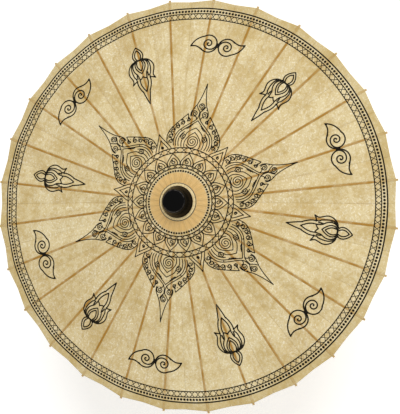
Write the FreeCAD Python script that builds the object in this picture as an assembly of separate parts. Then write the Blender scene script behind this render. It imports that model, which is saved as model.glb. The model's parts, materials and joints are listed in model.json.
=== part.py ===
"""Oil paper umbrella, open: 28 split bamboo ribs under a paper canopy, each with a stretcher
to one sliding runner, on a turned wooden shaft with a head, a black cap, a spring catch and
a handle.  Origin at the foot of the handle, on the shaft's axis; +Z runs up the shaft."""
import os
import math

import FreeCAD
import Part

# ---- driving dimensions, in mm and degrees ----
RIB_COUNT = 28
RIM_RADIUS = 410.0
OVERALL_HEIGHT = 600.0
RIB_SLOPE = 11.5
LINK_LENGTH = 150.0
PIVOT_RADIUS = 23.0
SHAFT_RADIUS = 8.0
CAP_RADIUS = 31.0
CAP_HEIGHT = 28.0
HANDLE_LENGTH = 132.0

# ---- ribs ----
RIB_WIDTH = 5.0
RIB_TOP = 3.5
RIB_BOTTOM = 3.5
RIB_TIP_BOTTOM = -0.6
RIB_TIP_WIDTH = 4.0
TIP_BEYOND_PAPER = 3.0
TANG_WIDTH = 2.4
TANG_LENGTH = 15.0
TANG_TAPER = 55.0
EYE_HOLE = 1.0
SLIT_WIDTH = 2.2
SLIT_WEB = 1.0
SLIT_TO_HEAD = 22.0
SLIT_TO_TIP = 36.0
PIN_RADIUS = 0.6
PIN_FIT = 0.1

# ---- stretchers ----
STRETCHER_WIDTH = 4.2
STRETCHER_DEPTH = 5.0
STRETCHER_EYE = 2.4
STRETCHER_TANG = 38.0
STRETCHER_TAPER = 24.0
TONGUE_WIDTH = 1.6
TONGUE_LENGTH = 39.0
TONGUE_HOLE = 0.9
SHOULDER = 3.0

# ---- head and runner ----
TOOTH_RADIUS = 28.0
SLOT_WIDTH = 3.0
SLOT_FLOOR = 18.5
NECK_RADIUS = 17.5
HEAD_BELOW = 14.0
RUNNER_HALF_FLANGE = 7.0
RUNNER_COLLAR = 48.0
RUNNER_FOOT_RADIUS = 13.5
RUNNER_BORE = SHAFT_RADIUS + 0.4
SHAFT_FIT = 0.1
RUNNING_GAP = 0.3

# ---- canopy, collar ring and cap ----
PAPER_THICKNESS = 0.5
PAPER_HOLE = 12.0
RING_RADIUS = 37.5
RING_THICKNESS = 0.8
CAP_TOP_RADIUS = 22.5
CAP_SHOULDER = 5.0
SHAFT_INTO_CAP = 20.0

# ---- catch and stop pin ----
CATCH_WIDTH = 2.4
CATCH_LENGTH = 26.0
CATCH_NOSE = 2.8
CATCH_ROOT = 4.0
CATCH_CLEARANCE = 0.4
STOP_PIN_RADIUS = 1.5
STOP_PIN_LENGTH = 27.0

# ---- what follows from them ----
SLOPE = math.radians(RIB_SLOPE)
PITCH = 360.0 / RIB_COUNT
PIVOT_Z = OVERALL_HEIGHT - CAP_HEIGHT - RIB_TOP - 1.0
RUNNER_Z = PIVOT_Z - 2.0 * LINK_LENGTH * math.sin(SLOPE)
RIB_LENGTH = (RIM_RADIUS + TIP_BEYOND_PAPER - PIVOT_RADIUS) / math.cos(SLOPE)
RUNNER_FOOT_Z = RUNNER_Z - RUNNER_HALF_FLANGE - RUNNER_COLLAR

Z_AXIS = FreeCAD.Vector(0, 0, 1)
Y_AXIS = FreeCAD.Vector(0, 1, 0)
ORIGIN = FreeCAD.Vector(0, 0, 0)


def vector(x, y, z):
    return FreeCAD.Vector(x, y, z)


def prism_across(points, width):
    """A side outline of (x, z) points, given thickness along Y and centred on Y = 0."""
    wire = Part.makePolygon([vector(x, -width / 2, z) for x, z in points + points[:1]])
    return Part.Face(wire).extrude(vector(0, width, 0))


def prism_up(points, bottom, height):
    """A plan outline of (x, y) points, given a height."""
    wire = Part.makePolygon([vector(x, y, bottom) for x, y in points + points[:1]])
    return Part.Face(wire).extrude(vector(0, 0, height))


def pin_across(x, z, radius, width):
    """A round bar along Y, centred on Y = 0."""
    return Part.makeCylinder(radius, width, vector(x, -width / 2, z), Y_AXIS)


def turned(points):
    """A closed outline of (radius, z) points turned round the shaft's axis."""
    wire = Part.makePolygon([vector(r, 0, z) for r, z in points + points[:1]])
    return Part.Face(wire).revolve(ORIGIN, Z_AXIS, 360)


def around(shape, azimuth):
    """A copy of the shape turned round the shaft's axis."""
    copy = shape.copy()
    copy.rotate(ORIGIN, Z_AXIS, azimuth)
    return copy


def rib_azimuth(index):
    return (index + 0.5) * PITCH


def under_paper(radius):
    """Height of the rib tops at a distance from the axis."""
    return PIVOT_Z + RIB_TOP / math.cos(SLOPE) - (radius - PIVOT_RADIUS) * math.tan(SLOPE)


def over_paper(radius):
    """Height of the paper's upper face at a distance from the axis."""
    return under_paper(radius) + (RUNNING_GAP + PAPER_THICKNESS) / math.cos(SLOPE)


# ---- ribs and stretchers, each drawn along +X from its inner pivot ----
def rib_blank():
    """The bamboo strip: an eye at the head, a narrow tang, then full width to the tip."""
    deep_end = LINK_LENGTH + SLIT_TO_TIP
    side = [
        (0, -RIB_BOTTOM),
        (deep_end, -RIB_BOTTOM),
        (RIB_LENGTH, -RIB_TIP_BOTTOM),
        (RIB_LENGTH, RIB_TOP),
        (0, RIB_TOP),
    ]
    strip = prism_across(side, RIB_WIDTH).fuse(pin_across(0, 0, RIB_TOP, RIB_WIDTH))
    full = TANG_LENGTH + TANG_TAPER
    half = [
        (-2 * RIB_TOP, TANG_WIDTH / 2),
        (TANG_LENGTH, TANG_WIDTH / 2),
        (full, RIB_WIDTH / 2),
        (deep_end, RIB_WIDTH / 2),
        (RIB_LENGTH + 1, RIB_TIP_WIDTH / 2),
    ]
    plan = half + [(x, -y) for x, y in reversed(half)]
    return strip.common(prism_up(plan, -2 * RIB_TOP, 4 * RIB_TOP)).removeSplitter()


def rib_slit():
    """The slit that the stretcher's tongue swings in, open below."""
    top = RIB_TOP - SLIT_WEB
    side = [
        (LINK_LENGTH - SLIT_TO_HEAD, -RIB_BOTTOM - 1),
        (LINK_LENGTH + SLIT_TO_TIP, -RIB_BOTTOM - 1),
        (LINK_LENGTH + SLIT_TO_TIP, 0),
        (LINK_LENGTH + SLIT_TO_TIP / 3, top),
        (LINK_LENGTH - STRETCHER_EYE - 2, top),
        (LINK_LENGTH - SLIT_TO_HEAD, 0),
    ]
    return prism_across(side, SLIT_WIDTH)


def rib_with_pin():
    """A rib and the pin that ties the stretcher into its slit."""
    rib = rib_blank().cut(rib_slit())
    rib = rib.cut(pin_across(0, 0, EYE_HOLE, 2 * RIB_WIDTH))
    rib = rib.cut(pin_across(LINK_LENGTH, 0, PIN_RADIUS + PIN_FIT, 2 * RIB_WIDTH))
    pin = pin_across(LINK_LENGTH, 0, PIN_RADIUS, RIB_WIDTH)
    return Part.makeCompound([rib, pin])


def stretcher_blank():
    """The strut: an eye at the runner, full width, then a thin tongue with its own eye."""
    tongue_start = LINK_LENGTH - TONGUE_LENGTH
    half_depth = STRETCHER_DEPTH / 2
    side = [
        (0, -STRETCHER_EYE),
        (STRETCHER_TANG, -half_depth),
        (tongue_start, -half_depth),
        (LINK_LENGTH, -STRETCHER_EYE),
        (LINK_LENGTH, STRETCHER_EYE),
        (tongue_start, half_depth),
        (STRETCHER_TANG, half_depth),
        (0, STRETCHER_EYE),
    ]
    strip = prism_across(side, STRETCHER_WIDTH)
    for end in (0, LINK_LENGTH):
        strip = strip.fuse(pin_across(end, 0, STRETCHER_EYE, STRETCHER_WIDTH))
    half = [
        (-2 * STRETCHER_EYE, TANG_WIDTH / 2),
        (STRETCHER_TANG, TANG_WIDTH / 2),
        (STRETCHER_TANG + STRETCHER_TAPER, STRETCHER_WIDTH / 2),
        (tongue_start - SHOULDER, STRETCHER_WIDTH / 2),
        (tongue_start, TONGUE_WIDTH / 2),
        (LINK_LENGTH + 2 * STRETCHER_EYE, TONGUE_WIDTH / 2),
    ]
    plan = half + [(x, -y) for x, y in reversed(half)]
    return strip.common(prism_up(plan, -STRETCHER_DEPTH, 2 * STRETCHER_DEPTH)).removeSplitter()


def stretcher_drilled():
    strut = stretcher_blank().cut(pin_across(0, 0, EYE_HOLE, 2 * STRETCHER_WIDTH))
    return strut.cut(pin_across(LINK_LENGTH, 0, TONGUE_HOLE, 2 * STRETCHER_WIDTH))


def hung_at(shape, slope, height):
    """Tips a part drawn along +X down by slope degrees and hangs it at the pivot circle."""
    copy = shape.copy()
    copy.rotate(ORIGIN, Y_AXIS, slope)
    copy.translate(vector(PIVOT_RADIUS, 0, height))
    return copy


# ---- head, runner, catch ----
def radial_slots(bottom, height):
    """One slot for each rib, from the slot floor outwards."""
    slots = []
    depth = 2 * TOOTH_RADIUS - SLOT_FLOOR
    for index in range(RIB_COUNT):
        slot = Part.makeBox(depth, SLOT_WIDTH, height, vector(SLOT_FLOOR, -SLOT_WIDTH / 2, bottom))
        slots.append(around(slot, rib_azimuth(index)))
    return slots


def hinge_ring():
    """The wire ring that all the ribs are threaded on."""
    return Part.makeTorus(PIVOT_RADIUS, PIN_RADIUS, vector(0, 0, PIVOT_Z), Z_AXIS)


def head():
    """The turned head: its teeth stand between the ribs and its top slopes with them."""
    bore = SHAFT_RADIUS + SHAFT_FIT
    tooth_bottom = PIVOT_Z - RIB_BOTTOM - 3
    outline = [
        (bore, PIVOT_Z - HEAD_BELOW),
        (NECK_RADIUS - 3, PIVOT_Z - HEAD_BELOW),
        (NECK_RADIUS, PIVOT_Z - HEAD_BELOW + 4),
        (NECK_RADIUS, tooth_bottom - 2),
        (TOOTH_RADIUS, tooth_bottom),
        (TOOTH_RADIUS, under_paper(TOOTH_RADIUS)),
        (bore, under_paper(bore)),
    ]
    body = turned(outline).cut(radial_slots(PIVOT_Z - 2 * HEAD_BELOW, 4 * HEAD_BELOW))
    groove = Part.makeTorus(PIVOT_RADIUS, PIN_RADIUS + PIN_FIT, vector(0, 0, PIVOT_Z), Z_AXIS)
    return body.cut(groove)


def runner():
    """The sliding runner: a slotted flange for the stretchers over a turned collar."""
    top = RUNNER_Z + RUNNER_HALF_FLANGE
    flange_bottom = RUNNER_Z - RUNNER_HALF_FLANGE
    outline = [
        (RUNNER_BORE, RUNNER_FOOT_Z),
        (RUNNER_FOOT_RADIUS, RUNNER_FOOT_Z),
        (RUNNER_FOOT_RADIUS + 1.5, RUNNER_FOOT_Z + 1.5),
        (RUNNER_FOOT_RADIUS + 1.5, RUNNER_FOOT_Z + 8),
        (RUNNER_FOOT_RADIUS, RUNNER_FOOT_Z + 10),
        (RUNNER_FOOT_RADIUS, RUNNER_FOOT_Z + RUNNER_COLLAR / 2),
        (NECK_RADIUS, flange_bottom - 4),
        (NECK_RADIUS, flange_bottom),
        (TOOTH_RADIUS - 1.5, flange_bottom),
        (TOOTH_RADIUS, flange_bottom + 1.5),
        (TOOTH_RADIUS, top - 1.5),
        (TOOTH_RADIUS - 1.5, top),
        (RUNNER_BORE, top),
    ]
    body = turned(outline).cut(radial_slots(flange_bottom - 1, 2 * RUNNER_HALF_FLANGE + 2))
    keyway_depth = SHAFT_RADIUS + CATCH_NOSE + CATCH_CLEARANCE
    keyway_width = CATCH_WIDTH + 2 * CATCH_CLEARANCE
    corner = vector(0, -keyway_width / 2, RUNNER_FOOT_Z - 1)
    keyway = Part.makeBox(keyway_depth, keyway_width, top - RUNNER_FOOT_Z + 2, corner)
    return body.cut(keyway)


def catch_top():
    return RUNNER_FOOT_Z - RUNNING_GAP


def catch():
    """The spring catch: its flat top holds the runner up and its slope lets it pass."""
    top = catch_top()
    outline = [
        (CATCH_ROOT, top - CATCH_LENGTH),
        (SHAFT_RADIUS - CATCH_CLEARANCE, top - CATCH_LENGTH),
        (SHAFT_RADIUS + CATCH_NOSE, top - 4),
        (SHAFT_RADIUS + CATCH_NOSE, top),
        (CATCH_ROOT, top),
    ]
    return prism_across(outline, CATCH_WIDTH)


# ---- the fixed parts ----
def shaft():
    """The round shaft, with the catch's slot and the stop pin's hole."""
    rod = Part.makeCylinder(SHAFT_RADIUS, PIVOT_Z + SHAFT_INTO_CAP)
    width = CATCH_WIDTH + 2 * CATCH_CLEARANCE
    length = CATCH_LENGTH + 2 * CATCH_CLEARANCE
    bottom = catch_top() - CATCH_LENGTH - CATCH_CLEARANCE
    floor = CATCH_ROOT - CATCH_NOSE - CATCH_CLEARANCE
    slot = Part.makeBox(2 * SHAFT_RADIUS, width, length, vector(floor, -width / 2, bottom))
    hole = pin_across(0, stop_pin_height(), STOP_PIN_RADIUS + PIN_FIT, 4 * SHAFT_RADIUS)
    return rod.cut([slot, hole])


def stop_pin_height():
    return RUNNER_Z + RUNNER_HALF_FLANGE + STOP_PIN_RADIUS + 0.5


def stop_pin():
    return pin_across(0, stop_pin_height(), STOP_PIN_RADIUS, STOP_PIN_LENGTH)


def handle():
    """The turned handle, closed below, with two rings near its upper end."""
    bore = SHAFT_RADIUS + SHAFT_FIT
    top = HANDLE_LENGTH
    outline = [
        (bore, 0),
        (10.5, 0),
        (13.0, 4.0),
        (13.5, 12.0),
        (11.5, 26.0),
        (11.0, top * 0.45),
        (12.5, top - 30.0),
        (12.5, top - 24.0),
        (11.2, top - 22.5),
        (11.2, top - 20.0),
        (12.5, top - 18.5),
        (12.5, top - 12.0),
        (11.2, top - 10.5),
        (11.2, top - 8.0),
        (12.0, top - 7.0),
        (9.6, top),
        (bore, top),
    ]
    return turned(outline)


def canopy():
    """The paper: one flat panel between each two ribs, as one closed sheet."""
    corners = {}
    for ring, radius in (("hole", PAPER_HOLE), ("rim", RIM_RADIUS)):
        upper = over_paper(radius)
        lower = upper - PAPER_THICKNESS / math.cos(SLOPE)
        for level, height in (("low", lower), ("high", upper)):
            for index in range(RIB_COUNT):
                angle = math.radians(rib_azimuth(index))
                place = vector(radius * math.cos(angle), radius * math.sin(angle), height)
                corners[ring, level, index] = place
    bands = [
        (("hole", "high"), ("rim", "high")),
        (("rim", "high"), ("rim", "low")),
        (("rim", "low"), ("hole", "low")),
        (("hole", "low"), ("hole", "high")),
    ]
    faces = []
    for index in range(RIB_COUNT):
        after = (index + 1) % RIB_COUNT
        for start, end in bands:
            loop = [
                corners[start + (index,)],
                corners[end + (index,)],
                corners[end + (after,)],
                corners[start + (after,)],
            ]
            faces.append(Part.Face(Part.makePolygon(loop + loop[:1])))
    solid = Part.makeSolid(Part.makeShell(faces))
    if solid.Volume < 0:
        solid.reverse()
    return solid


def collar_ring():
    """The pale ring of layered paper under the cap."""
    inner = PAPER_HOLE
    rise = RUNNING_GAP
    outline = [
        (inner, over_paper(inner) + rise),
        (RING_RADIUS, over_paper(RING_RADIUS) + rise),
        (RING_RADIUS, over_paper(RING_RADIUS) + rise + RING_THICKNESS),
        (inner, over_paper(inner) + rise + RING_THICKNESS),
    ]
    return turned(outline)


def cap():
    """The lacquered cap: a tapered turned knob with a rounded shoulder, seated on the ring."""
    bore = SHAFT_RADIUS + SHAFT_FIT
    rise = 2 * RUNNING_GAP + RING_THICKNESS
    seat = over_paper(CAP_RADIUS) + rise
    top = seat + CAP_HEIGHT
    deep = PIVOT_Z + SHAFT_INTO_CAP + 0.5
    shoulder = CAP_SHOULDER
    arc_middle = shoulder * (1 - math.sqrt(0.5))
    lines = [
        (vector(0, 0, deep), vector(bore, 0, deep)),
        (vector(bore, 0, deep), vector(bore, 0, over_paper(bore) + rise)),
        (vector(bore, 0, over_paper(bore) + rise), vector(CAP_RADIUS, 0, seat)),
        (vector(CAP_RADIUS, 0, seat), vector(CAP_RADIUS, 0, seat + 3)),
        (vector(CAP_RADIUS, 0, seat + 3), vector(CAP_TOP_RADIUS, 0, top - shoulder)),
        (vector(CAP_TOP_RADIUS - shoulder, 0, top), vector(0, 0, top)),
        (vector(0, 0, top), vector(0, 0, deep)),
    ]
    edges = [Part.makeLine(start, end) for start, end in lines]
    arc = Part.Arc(
        vector(CAP_TOP_RADIUS, 0, top - shoulder),
        vector(CAP_TOP_RADIUS - arc_middle, 0, top - arc_middle),
        vector(CAP_TOP_RADIUS - shoulder, 0, top),
    )
    edges.insert(5, arc.toShape())
    return Part.Face(Part.Wire(edges)).revolve(ORIGIN, Z_AXIS, 360)


def shaft_assembly():
    """Everything that never moves on the shaft, as separate solids."""
    solids = [
        shaft(),
        handle(),
        head(),
        hinge_ring(),
        stop_pin(),
        collar_ring(),
        cap(),
    ]
    return Part.makeCompound(solids)


def main():
    os.makedirs("parts", exist_ok=True)
    rib = hung_at(rib_with_pin(), RIB_SLOPE, PIVOT_Z)
    strut = hung_at(stretcher_drilled(), -RIB_SLOPE, RUNNER_Z)
    for index in range(RIB_COUNT):
        name = f"{index + 1:02d}"
        around(rib, rib_azimuth(index)).exportStep(f"parts/rib_{name}.step")
        around(strut, rib_azimuth(index)).exportStep(f"parts/stretcher_{name}.step")
    runner().exportStep("parts/runner.step")
    catch().exportStep("parts/catch.step")
    canopy().exportStep("parts/canopy.step")
    shaft_assembly().exportStep("parts/shaft_assembly.step")


main()
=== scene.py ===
"""Oil paper umbrella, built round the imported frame.

Laid out as an add-on: the sizes and colours are properties, each piece or group of like pieces
has its own operator, and the sidebar panel lists them in the order in which they run."""
import json
import math

import bmesh
import bpy
import numpy as np
from bpy.props import FloatProperty, FloatVectorProperty, IntProperty, PointerProperty
from mathutils import Matrix, Vector

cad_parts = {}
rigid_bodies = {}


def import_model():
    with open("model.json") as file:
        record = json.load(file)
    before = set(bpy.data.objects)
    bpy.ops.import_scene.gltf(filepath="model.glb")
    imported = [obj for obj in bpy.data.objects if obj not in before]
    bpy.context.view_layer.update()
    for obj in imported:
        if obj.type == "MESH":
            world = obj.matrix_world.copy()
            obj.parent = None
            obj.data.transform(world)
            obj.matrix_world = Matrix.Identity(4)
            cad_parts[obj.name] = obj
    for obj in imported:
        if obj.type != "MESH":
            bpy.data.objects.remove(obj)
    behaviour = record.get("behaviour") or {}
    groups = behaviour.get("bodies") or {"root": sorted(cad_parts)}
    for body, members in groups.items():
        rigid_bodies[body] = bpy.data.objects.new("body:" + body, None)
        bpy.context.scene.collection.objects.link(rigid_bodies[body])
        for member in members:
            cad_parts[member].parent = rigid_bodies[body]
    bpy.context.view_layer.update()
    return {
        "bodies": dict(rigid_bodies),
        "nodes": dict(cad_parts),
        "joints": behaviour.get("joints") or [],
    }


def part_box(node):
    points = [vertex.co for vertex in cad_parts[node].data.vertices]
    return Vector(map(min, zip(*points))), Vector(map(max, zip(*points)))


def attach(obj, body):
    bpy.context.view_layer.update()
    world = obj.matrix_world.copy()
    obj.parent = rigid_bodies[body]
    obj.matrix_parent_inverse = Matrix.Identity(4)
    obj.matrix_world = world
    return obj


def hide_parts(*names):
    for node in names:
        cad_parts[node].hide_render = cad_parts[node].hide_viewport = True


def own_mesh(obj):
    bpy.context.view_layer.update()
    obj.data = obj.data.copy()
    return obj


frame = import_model()

bl_info = {
    "name": "Oil paper umbrella",
    "version": (1, 0, 0),
    "blender": (4, 5, 0),
    "location": "View3D > Sidebar > Umbrella",
    "description": "Builds an open oil paper umbrella on its packed frame",
    "category": "Object",
}

# ---- what the frame says ----
MILLIMETRE = 0.001
ROOT = "shaft_assembly"
JOINTS = {joint["name"]: joint for joint in frame["joints"]}
RIBS = sorted(name for name in frame["bodies"] if name.startswith("rib_"))
STRETCHERS = sorted(name for name in frame["bodies"] if name.startswith("stretcher_"))
COUNT = len(RIBS)
HALF_PITCH = math.pi / COUNT
PITCH = 2.0 * HALF_PITCH
RIB_PIVOT = Vector(JOINTS["rib_01_fold"]["pos_m"])
TIE_PIVOT = Vector(JOINTS["stretcher_01_fold"]["pos_m"])
PIVOT_RADIUS = RIB_PIVOT.xy.length
PIVOT_HEIGHT = RIB_PIVOT.z
TIE_RADIUS = TIE_PIVOT.xy.length
SLOPE = math.atan2(PIVOT_HEIGHT - TIE_PIVOT.z, TIE_RADIUS - PIVOT_RADIUS)
RUNNER_HEIGHT = PIVOT_HEIGHT - 2.0 * (PIVOT_HEIGHT - TIE_PIVOT.z)
PAPER_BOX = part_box("canopy")
RIM_RADIUS = PAPER_BOX[1].x / math.cos(HALF_PITCH)
PAPER_HOLE = 12 * MILLIMETRE
PAPER_TOP = PAPER_BOX[1].z + PAPER_HOLE * math.tan(SLOPE)
CAP_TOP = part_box(ROOT)[1].z
CAP_HEIGHT = 28 * MILLIMETRE
RING_RADIUS = 37.5 * MILLIMETRE
HANDLE_TOP = 132 * MILLIMETRE
WIRE_RADIUS = 0.6 * MILLIMETRE
RUNNER_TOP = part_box("runner")[1].z
INK_REACH = 0.012


def srgb(red, green, blue):
    """A colour given as screen values from 0 to 255, as the linear values that shaders take."""
    parts = np.array([red, green, blue]) / 255.0
    low, high = parts / 12.92, ((parts + 0.055) / 1.055) ** 2.4
    return tuple(float(v) for v in np.where(parts <= 0.04045, low, high))


def colour_property(name, description, value):
    return FloatVectorProperty(
        name=name, description=description, default=value, subtype="COLOR", size=3,
        min=0.0, max=1.0)


def length_property(name, description, value):
    return FloatProperty(name=name, description=description, default=value, unit="LENGTH")


class UmbrellaSizes(bpy.types.PropertyGroup):
    strip_half_width: length_property(
        "Glued half width", "Half the width of paper that is glued to a rib", 0.0026)
    paper_start: length_property(
        "Paper start", "Distance from the axis at which the folding paper starts", 0.0320)
    paper_thickness: length_property("Paper thickness", "Thickness of the oiled paper", 0.0005)
    hem_depth: length_property("Hem depth", "How far the rolled hem hangs below the paper", 0.0012)
    hem_width: length_property("Hem width", "Width of the rolled hem at the rim", 0.0050)
    row_step: length_property(
        "Row step", "Distance between rows where the paper is drawn on", 0.00145)
    rim_hollow: length_property("Rim hollow", "How far the rim curves in between two ribs", 0.0016)
    sag_share: FloatProperty(
        name="Sag", description="Sag between ribs, as a share of the distance from the axis",
        default=0.0065, min=0.0, max=0.05)
    columns: IntProperty(
        name="Columns", description="Columns of points across half a panel", default=34, min=4)
    edge_round: length_property("Edge round", "Rounding of the split bamboo's edges", 0.00035)


class UmbrellaColours(bpy.types.PropertyGroup):
    paper: colour_property("Paper", "Oiled mulberry paper", srgb(228, 212, 167))
    paper_dark: colour_property("Paper, darker", "Where the oil lies thicker", srgb(199, 175, 120))
    paper_warm: colour_property("Warm tint", "Warm wash round the crown", srgb(222, 180, 112))
    # Painted: a rib's brown and its shade seen through the paper; the same colour paints shade
    # along the mid-panel crease and dark lines over the ribs on the crown ring.
    rib_shadow: colour_property("Rib line", "A rib seen through the paper", srgb(166, 120, 42))
    ink: colour_property("Ink", "Drawing ink", srgb(2, 2, 1))
    bamboo: colour_property("Bamboo", "Split bamboo", srgb(196, 152, 92))
    bamboo_dark: colour_property("Bamboo, darker", "Fibres of the bamboo", srgb(142, 98, 50))
    wood: colour_property("Wood", "Turned wood", srgb(176, 122, 68))
    wood_dark: colour_property("Wood, darker", "Dark grain of the wood", srgb(112, 68, 34))
    lacquer: colour_property("Lacquer", "Lacquer of the cap", srgb(4, 4, 4))
    thread: colour_property("Thread", "Cotton thread", srgb(206, 190, 150))
    steel: colour_property("Steel", "Spring steel and wire", srgb(150, 150, 152))


class UmbrellaStage(bpy.types.PropertyGroup):
    tilt: FloatProperty(
        name="Tilt", description="Angle between the line of sight and the shaft",
        default=math.radians(15.48), subtype="ANGLE")
    bearing: FloatProperty(
        name="Bearing", description="Direction in which the camera leans away from the shaft",
        default=math.radians(-87.33), subtype="ANGLE")
    roll: FloatProperty(
        name="Roll", description="Bearing of the picture's upward direction",
        default=math.radians(13.68), subtype="ANGLE")
    distance: length_property("Distance", "From the rim's centre to the camera", 2.15)
    lens: FloatProperty(name="Lens", description="Focal length in millimetres", default=97.3)
    aside: length_property("Aside", "How far the camera stands to the picture's right", 0.0226)
    below: length_property("Below", "How far the camera stands to the picture's foot", 0.0060)
    floor: length_property("Floor", "Height of the floor under the handle's foot", -0.002)
    floor_glow: FloatProperty(
        name="Floor glow", description="Light that the backdrop adds of its own", default=0.30)
    floor_colour: colour_property("Floor colour", "Pale floor", (0.93, 0.93, 0.92))
    sky_strength: FloatProperty(name="Sky", description="Strength of the even light", default=0.66)
    key_strength: FloatProperty(
        name="Key", description="Strength of the soft key light in watts per square metre",
        default=1.15)
    glint_power: FloatProperty(
        name="Glint", description="Power in watts of the long lamp that glints on the cap",
        default=7.0)


# ---- shader expressions ----
class Value:
    """A number that varies over a surface: an output socket that Python's operators extend."""

    def __init__(self, finish, socket):
        self.finish = finish
        self.socket = socket

    def math(self, operation, *others):
        settings = {"operation": operation}
        inputs = dict(enumerate((self,) + others))
        return self.finish.value("ShaderNodeMath", settings, inputs)

    def __add__(self, other):
        return self.math("ADD", other)

    __radd__ = __add__

    def __mul__(self, other):
        return self.math("MULTIPLY", other)

    __rmul__ = __mul__

    def __sub__(self, other):
        return self.math("SUBTRACT", other)

    def __rsub__(self, other):
        return self.finish.value(
            "ShaderNodeMath", {"operation": "SUBTRACT"}, {0: other, 1: self})

    def __truediv__(self, other):
        return self.math("DIVIDE", other)

    def __abs__(self):
        return self.math("ABSOLUTE")

    def least(self, other):
        return self.math("MINIMUM", other)

    def most(self, other):
        return self.math("MAXIMUM", other)

    def ramp(self, low, high):
        """0 below low, 1 above high and smooth between; low may be the greater of the two."""
        settings = {"interpolation_type": "SMOOTHSTEP", "clamp": True}
        inputs = {"Value": self, "From Min": low, "From Max": high}
        if low > high:
            inputs.update({"From Min": high, "From Max": low, "To Min": 1.0, "To Max": 0.0})
        return self.finish.value("ShaderNodeMapRange", settings, inputs)


class Finish:
    """A material being made: its node tree and its Principled shader."""

    def __init__(self, name, **constants):
        self.material = bpy.data.materials.new(name)
        self.material.use_nodes = True
        self.tree = self.material.node_tree
        self.shader = self.tree.nodes["Principled BSDF"]
        for socket, value in constants.items():
            self.shader.inputs[socket.replace("_", " ")].default_value = value

    def node(self, kind, settings=None, inputs=None):
        made = self.tree.nodes.new(kind)
        for key, value in (settings or {}).items():
            setattr(made, key, value)
        for key, value in (inputs or {}).items():
            self.feed(made.inputs[key], value)
        return made

    def feed(self, socket, value):
        if isinstance(value, Value):
            value = value.socket
        if isinstance(value, bpy.types.NodeSocket):
            self.tree.links.new(value, socket)
        else:
            socket.default_value = value

    def value(self, kind, settings=None, inputs=None, output=0):
        return Value(self, self.node(kind, settings, inputs).outputs[output])

    def place(self):
        """Object coordinates, as one vector and as three values."""
        vector = self.node("ShaderNodeTexCoord").outputs["Object"]
        return vector, self.split(vector)

    def split(self, vector):
        parts = self.node("ShaderNodeSeparateXYZ", None, {0: vector})
        return [Value(self, parts.outputs[index]) for index in range(3)]

    def join(self, x, y, z):
        return self.node("ShaderNodeCombineXYZ", None, {0: x, 1: y, 2: z}).outputs[0]

    def noise(self, vector, scale, detail=3.0, roughness=0.55, distortion=0.0):
        inputs = {
            "Vector": vector, "Scale": scale, "Detail": detail, "Roughness": roughness,
            "Distortion": distortion}
        return self.value("ShaderNodeTexNoise", {"noise_dimensions": "3D"}, inputs)

    def mix(self, share, first, second):
        """Two colours mixed; each is a tuple of three values or a socket."""
        made = self.node("ShaderNodeMix", {"data_type": "RGBA", "clamp_factor": True})
        self.feed(made.inputs[0], share)
        for socket, colour in zip(made.inputs[6:8], (first, second)):
            plain = not isinstance(colour, bpy.types.NodeSocket)
            self.feed(socket, tuple(colour) + (1.0,) if plain else colour)
        return made.outputs[2]

    def surface(self, colour, roughness, height, bump_depth, bump_strength):
        """Feeds the shader: a colour, a roughness and a height that becomes its bump."""
        inputs = {"Height": height, "Distance": bump_depth, "Strength": bump_strength}
        bump = self.node("ShaderNodeBump", None, inputs)
        self.feed(self.shader.inputs["Base Color"], colour)
        self.feed(self.shader.inputs["Roughness"], roughness)
        self.feed(self.shader.inputs["Normal"], bump.outputs[0])
        return self.material


def polar(finish, x, y):
    """Distance from the axis and angle round it."""
    radius = (x * x + y * y).math("SQRT")
    angle = finish.value("ShaderNodeMath", {"operation": "ARCTAN2"}, {0: y, 1: x})
    return radius, angle


def repeat(angle, count, turned_by=0.0):
    """The angle from the nearest of count evenly spaced directions, as a share of half a step."""
    steps = angle * (count / (2.0 * math.pi)) + (0.5 - turned_by)
    return (steps.math("FRACT") - 0.5) * 2.0


# ---- finishes ----
def ring_drawing(radius, angle):
    """Least distance outside the drawn circles, dots and braids, as a share of the rim radius."""
    line = 0.0021
    nearest = abs(radius - 0.956) - 0.0031
    for at in (0.161, 0.177, 0.236, 0.259, 0.902, 0.929):
        nearest = nearest.least(abs(radius - at) - line)
    for at, count, size in ((0.147, 74, 0.0046), (0.9415, 374, 0.0058)):
        along = repeat(angle, count) * (math.pi / count * at)
        off = radius - at
        nearest = nearest.least((along * along + off * off).math("SQRT") - size)
    for low, high, count in ((0.161, 0.177, 18), (0.236, 0.259, 20), (0.902, 0.929, 96)):
        middle, half = (low + high) / 2, (high - low) / 2
        wave = (angle * float(count)).math("SINE") * half
        slant = count * half / middle
        off = radius - middle
        braid = abs(off - wave).least(abs(off + wave))
        inside = abs(off) - half
        braid = (braid / math.sqrt(1.0 + (0.6 * slant) ** 2) - 0.75 * line).most(inside)
        nearest = nearest.least(braid)
    return nearest


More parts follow.
